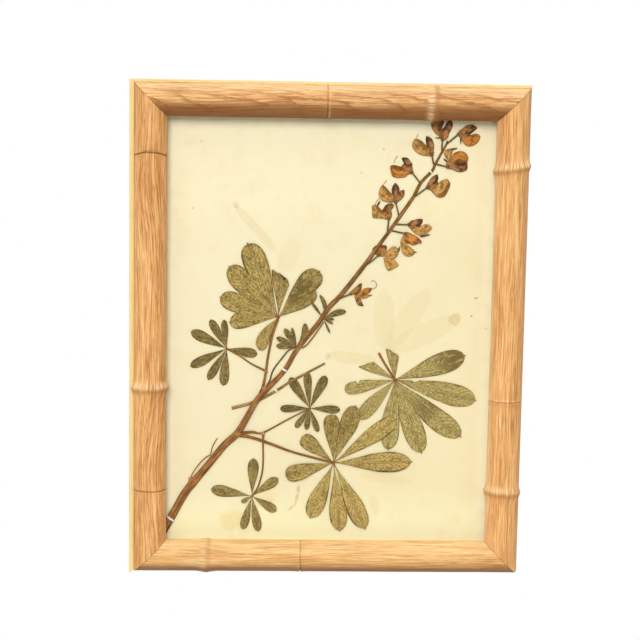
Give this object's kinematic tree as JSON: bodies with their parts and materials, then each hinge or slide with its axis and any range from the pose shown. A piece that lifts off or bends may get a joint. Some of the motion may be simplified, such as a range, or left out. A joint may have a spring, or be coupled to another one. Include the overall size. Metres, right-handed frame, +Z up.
{
  "type": "pressed flower frame",
  "caption": "Pressed lupin strapped to aged paper under glass in a hanging frame of half-round oak moulding carved as bamboo.",
  "frame": {"origin": "the hanging point, on the back plane of the top rail behind the middle of the sawtooth hanger", "axes": "+Z up as it hangs, +X to the viewer's right, +Y towards the wall, so the picture faces -Y"},
  "size_m": [0.252, 0.0245, 0.316],
  "materials": {
    "oak": "waxed oak, satin",
    "glass": "clear picture glass",
    "paper": "aged cream rag paper, matt",
    "hardboard": "brown hardboard, matt",
    "steel": "zinc-plated steel",
    "stem": "dried stalk, ribbed, matt",
    "leaf": "pressed leaf, veined, matt",
    "petal": "withered petal, papery",
    "strap": "gummed white paper, matt"
  },
  "bodies": {
    "root": {"rail_top": "oak", "point_top_1": "steel", "rail_right": "oak", "point_right_1": "steel", "point_right_2": "steel", "rail_bottom": "oak", "point_bottom_1": "steel", "rail_left": "oak", "point_left_1": "steel", "point_left_2": "steel", "glass": "glass", "mount_paper": "paper", "backing_board": "hardboard", "hanger": "steel", "hanger_nail_left": "steel", "hanger_nail_right": "steel", "stem": "stem", "twig": "stem", "leaf_upper_left": "leaf", "leaf_left": "leaf", "leaf_tuft": "leaf", "leaf_axil": "leaf", "leaf_centre": "leaf", "leaf_lower_right": "leaf", "leaf_right": "leaf", "leaf_lower_left": "leaf", "flower_1": "petal", "flower_2": "petal", "flower_3": "petal", "flower_4": "petal", "flower_5": "petal", "flower_6": "petal", "flower_7": "petal", "flower_8": "petal", "flower_9": "petal", "flower_10": "petal", "flower_11": "petal", "flower_12": "petal", "strap_1": "strap", "strap_2": "strap", "strap_3": "strap", "strap_4": "strap"}
  },
  "joints": []
}
